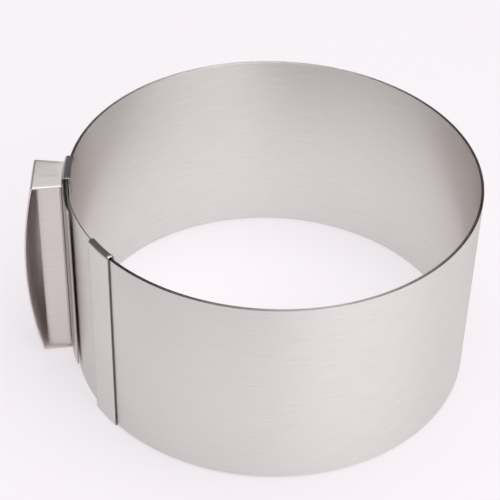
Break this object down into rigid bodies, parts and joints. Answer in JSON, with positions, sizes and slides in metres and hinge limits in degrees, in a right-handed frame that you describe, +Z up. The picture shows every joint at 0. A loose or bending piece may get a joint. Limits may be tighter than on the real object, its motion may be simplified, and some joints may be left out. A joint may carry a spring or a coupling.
{
  "type": "adjustable cake ring",
  "caption": "Tall cake ring of coiled stainless strip, with a clip on its outer end and a sleeve with a bowed handle on its inner end; the strip slides through both to set the diameter.",
  "frame": {"origin": "middle of the footprint, on the surface the ring stands on", "axes": "+Z up along the ring's axis; the handle points to -X; the outer clip is at the front left, towards -Y"},
  "size_m": [0.1818, 0.1638, 0.0868],
  "materials": {
    "band_sheet": "satin stainless strip",
    "clip_sheet": "satin stainless sheet, folded",
    "handle_sheet": "satin stainless sheet, bent"
  },
  "bodies": {
    "handle_end": {"handle_sleeve": "clip_sheet", "handle_channel": "handle_sheet", "handle_bow": "handle_sheet", "band_01": "band_sheet"},
    "strip_02": {"band_02": "band_sheet"},
    "strip_03": {"band_03": "band_sheet"},
    "strip_04": {"band_04": "band_sheet"},
    "strip_05": {"band_05": "band_sheet"},
    "strip_06": {"band_06": "band_sheet"},
    "strip_07": {"band_07": "band_sheet"},
    "strip_08": {"band_08": "band_sheet"},
    "strip_09": {"band_09": "band_sheet"},
    "strip_10": {"band_10": "band_sheet"},
    "strip_11": {"band_11": "band_sheet"},
    "strip_12": {"band_12": "band_sheet"},
    "strip_13": {"band_13": "band_sheet"},
    "strip_14": {"band_14": "band_sheet"},
    "strip_15": {"band_15": "band_sheet"},
    "strip_16": {"band_16": "band_sheet"},
    "strip_17": {"band_17": "band_sheet"},
    "strip_18": {"band_18": "band_sheet"},
    "strip_19": {"band_19": "band_sheet"},
    "strip_20": {"band_20": "band_sheet"},
    "strip_21": {"band_21": "band_sheet"},
    "strip_22": {"band_22": "band_sheet"},
    "strip_23": {"band_23": "band_sheet"},
    "strip_24": {"band_24": "band_sheet"},
    "strip_25": {"band_25": "band_sheet"},
    "strip_26": {"band_26": "band_sheet"},
    "strip_27": {"band_27": "band_sheet"},
    "strip_28": {"band_28": "band_sheet"},
    "strip_29": {"band_29": "band_sheet"},
    "strip_30": {"band_30": "band_sheet"},
    "strip_31": {"band_31": "band_sheet"},
    "strip_32": {"band_32": "band_sheet"},
    "strip_33": {"band_33": "band_sheet"},
    "strip_34": {"band_34": "band_sheet"},
    "strip_35": {"band_35": "band_sheet"},
    "strip_36": {"band_36": "band_sheet"},
    "strip_37": {"band_37": "band_sheet"},
    "strip_38": {"band_38": "band_sheet"},
    "strip_39": {"band_39": "band_sheet"},
    "strip_40": {"band_40": "band_sheet"},
    "strip_41": {"band_41": "band_sheet"},
    "strip_42": {"band_42": "band_sheet"},
    "strip_43": {"band_43": "band_sheet"},
    "clip_end": {"band_44": "band_sheet", "outer_clip": "clip_sheet"}
  },
  "joints": [
    {"name": "ring_size", "type": "hinge", "parent": "handle_end", "child": "strip_02", "pos_m": [-0.07131, 0.00558, 0], "axis": [0, 0, 1], "range_deg": [-0.31, 7.29]},
    {"name": "band_bend_03", "type": "hinge", "parent": "strip_02", "child": "strip_03", "pos_m": [-0.06682, 0.02731, 0], "axis": [0, 0, 1], "range_deg": [-0.31, 7.28]},
    {"name": "band_bend_04", "type": "hinge", "parent": "strip_03", "child": "strip_04", "pos_m": [-0.05656, 0.04701, 0], "axis": [0, 0, 1], "range_deg": [-0.31, 7.28]},
    {"name": "band_bend_05", "type": "hinge", "parent": "strip_04", "child": "strip_05", "pos_m": [-0.04131, 0.06316, 0], "axis": [0, 0, 1], "range_deg": [-0.31, 7.28]},
    {"name": "band_bend_06", "type": "hinge", "parent": "strip_05", "child": "strip_06", "pos_m": [-0.02223, 0.07454, 0], "axis": [0, 0, 1], "range_deg": [-0.31, 7.28]},
    {"name": "band_bend_07", "type": "hinge", "parent": "strip_06", "child": "strip_07", "pos_m": [-0.00074, 0.08027, 0], "axis": [0, 0, 1], "range_deg": [-0.31, 7.27]},
    {"name": "band_bend_08", "type": "hinge", "parent": "strip_07", "child": "strip_08", "pos_m": [0.0215, 0.07992, 0], "axis": [0, 0, 1], "range_deg": [-0.31, 7.27]},
    {"name": "band_bend_09", "type": "hinge", "parent": "strip_08", "child": "strip_09", "pos_m": [0.04281, 0.07351, 0], "axis": [0, 0, 1], "range_deg": [-0.31, 7.27]},
    {"name": "band_bend_10", "type": "hinge", "parent": "strip_09", "child": "strip_10", "pos_m": [0.06156, 0.06152, 0], "axis": [0, 0, 1], "range_deg": [-0.31, 7.26]},
    {"name": "band_bend_11", "type": "hinge", "parent": "strip_10", "child": "strip_11", "pos_m": [0.07634, 0.04486, 0], "axis": [0, 0, 1], "range_deg": [-0.31, 7.26]},
    {"name": "band_bend_12", "type": "hinge", "parent": "strip_11", "child": "strip_12", "pos_m": [0.08601, 0.02478, 0], "axis": [0, 0, 1], "range_deg": [-0.31, 7.26]},
    {"name": "band_bend_13", "type": "hinge", "parent": "strip_12", "child": "strip_13", "pos_m": [0.08983, 0.00282, 0], "axis": [0, 0, 1], "range_deg": [-0.31, 7.26]},
    {"name": "band_bend_14", "type": "hinge", "parent": "strip_13", "child": "strip_14", "pos_m": [0.08751, -0.01936, 0], "axis": [0, 0, 1], "range_deg": [-0.31, 7.25]},
    {"name": "band_bend_15", "type": "hinge", "parent": "strip_14", "child": "strip_15", "pos_m": [0.07921, -0.04007, 0], "axis": [0, 0, 1], "range_deg": [-0.31, 7.25]},
    {"name": "band_bend_16", "type": "hinge", "parent": "strip_15", "child": "strip_16", "pos_m": [0.06557, -0.05774, 0], "axis": [0, 0, 1], "range_deg": [-0.31, 7.25]},
    {"name": "band_bend_17", "type": "hinge", "parent": "strip_16", "child": "strip_17", "pos_m": [0.04762, -0.07101, 0], "axis": [0, 0, 1], "range_deg": [-0.31, 7.25]},
    {"name": "band_bend_18", "type": "hinge", "parent": "strip_17", "child": "strip_18", "pos_m": [0.02671, -0.07889, 0], "axis": [0, 0, 1], "range_deg": [-0.31, 7.24]},
    {"name": "band_bend_19", "type": "hinge", "parent": "strip_18", "child": "strip_19", "pos_m": [0.00444, -0.08075, 0], "axis": [0, 0, 1], "range_deg": [-0.31, 7.24]},
    {"name": "band_bend_20", "type": "hinge", "parent": "strip_19", "child": "strip_20", "pos_m": [-0.0175, -0.07647, 0], "axis": [0, 0, 1], "range_deg": [-0.31, 7.24]},
    {"name": "band_bend_21", "type": "hinge", "parent": "strip_20", "child": "strip_21", "pos_m": [-0.03745, -0.06635, 0], "axis": [0, 0, 1], "range_deg": [-0.31, 7.24]},
    {"name": "band_bend_22", "type": "hinge", "parent": "strip_21", "child": "strip_22", "pos_m": [-0.05389, -0.05115, 0], "axis": [0, 0, 1], "range_deg": [-0.31, 7.23]},
    {"name": "band_bend_23", "type": "hinge", "parent": "strip_22", "child": "strip_23", "pos_m": [-0.06555, -0.03204, 0], "axis": [0, 0, 1], "range_deg": [-0.31, 7.23]},
    {"name": "band_bend_24", "type": "hinge", "parent": "strip_23", "child": "strip_24", "pos_m": [-0.07156, -0.01047, 0], "axis": [0, 0, 1], "range_deg": [-0.31, 7.23]},
    {"name": "band_bend_25", "type": "hinge", "parent": "strip_24", "child": "strip_25", "pos_m": [-0.07144, 0.01194, 0], "axis": [0, 0, 1], "range_deg": [-0.31, 7.22]},
    {"name": "band_bend_26", "type": "hinge", "parent": "strip_25", "child": "strip_26", "pos_m": [-0.06521, 0.03347, 0], "axis": [0, 0, 1], "range_deg": [-0.31, 7.22]},
    {"name": "band_bend_27", "type": "hinge", "parent": "strip_26", "child": "strip_27", "pos_m": [-0.05334, 0.0525, 0], "axis": [0, 0, 1], "range_deg": [-0.31, 7.22]},
    {"name": "band_bend_28", "type": "hinge", "parent": "strip_27", "child": "strip_28", "pos_m": [-0.03671, 0.06756, 0], "axis": [0, 0, 1], "range_deg": [-0.31, 7.22]},
    {"name": "band_bend_29", "type": "hinge", "parent": "strip_28", "child": "strip_29", "pos_m": [-0.01659, 0.07751, 0], "axis": [0, 0, 1], "range_deg": [-0.31, 7.21]},
    {"name": "band_bend_30", "type": "hinge", "parent": "strip_29", "child": "strip_30", "pos_m": [0.0055, 0.0816, 0], "axis": [0, 0, 1], "range_deg": [-0.31, 7.21]},
    {"name": "band_bend_31", "type": "hinge", "parent": "strip_30", "child": "strip_31", "pos_m": [0.02786, 0.07949, 0], "axis": [0, 0, 1], "range_deg": [-0.31, 7.21]},
    {"name": "band_bend_32", "type": "hinge", "parent": "strip_31", "child": "strip_32", "pos_m": [0.04882, 0.07136, 0], "axis": [0, 0, 1], "range_deg": [-0.31, 7.21]},
    {"name": "band_bend_33", "type": "hinge", "parent": "strip_32", "child": "strip_33", "pos_m": [0.06676, 0.05781, 0], "axis": [0, 0, 1], "range_deg": [-0.31, 7.2]},
    {"name": "band_bend_34", "type": "hinge", "parent": "strip_33", "child": "strip_34", "pos_m": [0.08032, 0.03986, 0], "axis": [0, 0, 1], "range_deg": [-0.31, 7.2]},
    {"name": "band_bend_35", "type": "hinge", "parent": "strip_34", "child": "strip_35", "pos_m": [0.08848, 0.01889, 0], "axis": [0, 0, 1], "range_deg": [-0.31, 7.2]},
    {"name": "band_bend_36", "type": "hinge", "parent": "strip_35", "child": "strip_36", "pos_m": [0.0906, -0.00353, 0], "axis": [0, 0, 1], "range_deg": [-0.31, 7.2]},
    {"name": "band_bend_37", "type": "hinge", "parent": "strip_36", "child": "strip_37", "pos_m": [0.08651, -0.02568, 0], "axis": [0, 0, 1], "range_deg": [-0.31, 7.19]},
    {"name": "band_bend_38", "type": "hinge", "parent": "strip_37", "child": "strip_38", "pos_m": [0.07653, -0.04588, 0], "axis": [0, 0, 1], "range_deg": [-0.31, 7.19]},
    {"name": "band_bend_39", "type": "hinge", "parent": "strip_38", "child": "strip_39", "pos_m": [0.0614, -0.0626, 0], "axis": [0, 0, 1], "range_deg": [-0.31, 7.19]},
    {"name": "band_bend_40", "type": "hinge", "parent": "strip_39", "child": "strip_40", "pos_m": [0.04228, -0.07455, 0], "axis": [0, 0, 1], "range_deg": [-0.31, 7.19]},
    {"name": "band_bend_41", "type": "hinge", "parent": "strip_40", "child": "strip_41", "pos_m": [0.0206, -0.08083, 0], "axis": [0, 0, 1], "range_deg": [-0.31, 7.18]},
    {"name": "band_bend_42", "type": "hinge", "parent": "strip_41", "child": "strip_42", "pos_m": [-0.00197, -0.08096, 0], "axis": [0, 0, 1], "range_deg": [-0.31, 7.18]},
    {"name": "band_bend_43", "type": "hinge", "parent": "strip_42", "child": "strip_43", "pos_m": [-0.02373, -0.07491, 0], "axis": [0, 0, 1], "range_deg": [-0.31, 7.18]},
    {"name": "band_bend_44", "type": "hinge", "parent": "strip_43", "child": "clip_end", "pos_m": [-0.04302, -0.06315, 0], "axis": [0, 0, 1], "range_deg": [-0.3, 7.18]}
  ],
  "couplings": [
    {"joint": "band_bend_03", "follows": "ring_size", "ratio": 0.99964},
    {"joint": "band_bend_04", "follows": "ring_size", "ratio": 0.99927},
    {"joint": "band_bend_05", "follows": "ring_size", "ratio": 0.99891},
    {"joint": "band_bend_06", "follows": "ring_size", "ratio": 0.99855},
    {"joint": "band_bend_07", "follows": "ring_size", "ratio": 0.99818},
    {"joint": "band_bend_08", "follows": "ring_size", "ratio": 0.99782},
    {"joint": "band_bend_09", "follows": "ring_size", "ratio": 0.99746},
    {"joint": "band_bend_10", "follows": "ring_size", "ratio": 0.99709},
    {"joint": "band_bend_11", "follows": "ring_size", "ratio": 0.99673},
    {"joint": "band_bend_12", "follows": "ring_size", "ratio": 0.99637},
    {"joint": "band_bend_13", "follows": "ring_size", "ratio": 0.99601},
    {"joint": "band_bend_14", "follows": "ring_size", "ratio": 0.99564},
    {"joint": "band_bend_15", "follows": "ring_size", "ratio": 0.99528},
    {"joint": "band_bend_16", "follows": "ring_size", "ratio": 0.99492},
    {"joint": "band_bend_17", "follows": "ring_size", "ratio": 0.99455},
    {"joint": "band_bend_18", "follows": "ring_size", "ratio": 0.99419},
    {"joint": "band_bend_19", "follows": "ring_size", "ratio": 0.99383},
    {"joint": "band_bend_20", "follows": "ring_size", "ratio": 0.99347},
    {"joint": "band_bend_21", "follows": "ring_size", "ratio": 0.99311},
    {"joint": "band_bend_22", "follows": "ring_size", "ratio": 0.99274},
    {"joint": "band_bend_23", "follows": "ring_size", "ratio": 0.99238},
    {"joint": "band_bend_24", "follows": "ring_size", "ratio": 0.99202},
    {"joint": "band_bend_25", "follows": "ring_size", "ratio": 0.99166},
    {"joint": "band_bend_26", "follows": "ring_size", "ratio": 0.9913},
    {"joint": "band_bend_27", "follows": "ring_size", "ratio": 0.99094},
    {"joint": "band_bend_28", "follows": "ring_size", "ratio": 0.99057},
    {"joint": "band_bend_29", "follows": "ring_size", "ratio": 0.99021},
    {"joint": "band_bend_30", "follows": "ring_size", "ratio": 0.98985},
    {"joint": "band_bend_31", "follows": "ring_size", "ratio": 0.98949},
    {"joint": "band_bend_32", "follows": "ring_size", "ratio": 0.98913},
    {"joint": "band_bend_33", "follows": "ring_size", "ratio": 0.98877},
    {"joint": "band_bend_34", "follows": "ring_size", "ratio": 0.98841},
    {"joint": "band_bend_35", "follows": "ring_size", "ratio": 0.98805},
    {"joint": "band_bend_36", "follows": "ring_size", "ratio": 0.98769},
    {"joint": "band_bend_37", "follows": "ring_size", "ratio": 0.98733},
    {"joint": "band_bend_38", "follows": "ring_size", "ratio": 0.98697},
    {"joint": "band_bend_39", "follows": "ring_size", "ratio": 0.98661},
    {"joint": "band_bend_40", "follows": "ring_size", "ratio": 0.98625},
    {"joint": "band_bend_41", "follows": "ring_size", "ratio": 0.98589},
    {"joint": "band_bend_42", "follows": "ring_size", "ratio": 0.98553},
    {"joint": "band_bend_43", "follows": "ring_size", "ratio": 0.98517},
    {"joint": "band_bend_44", "follows": "ring_size", "ratio": 0.98481}
  ]
}
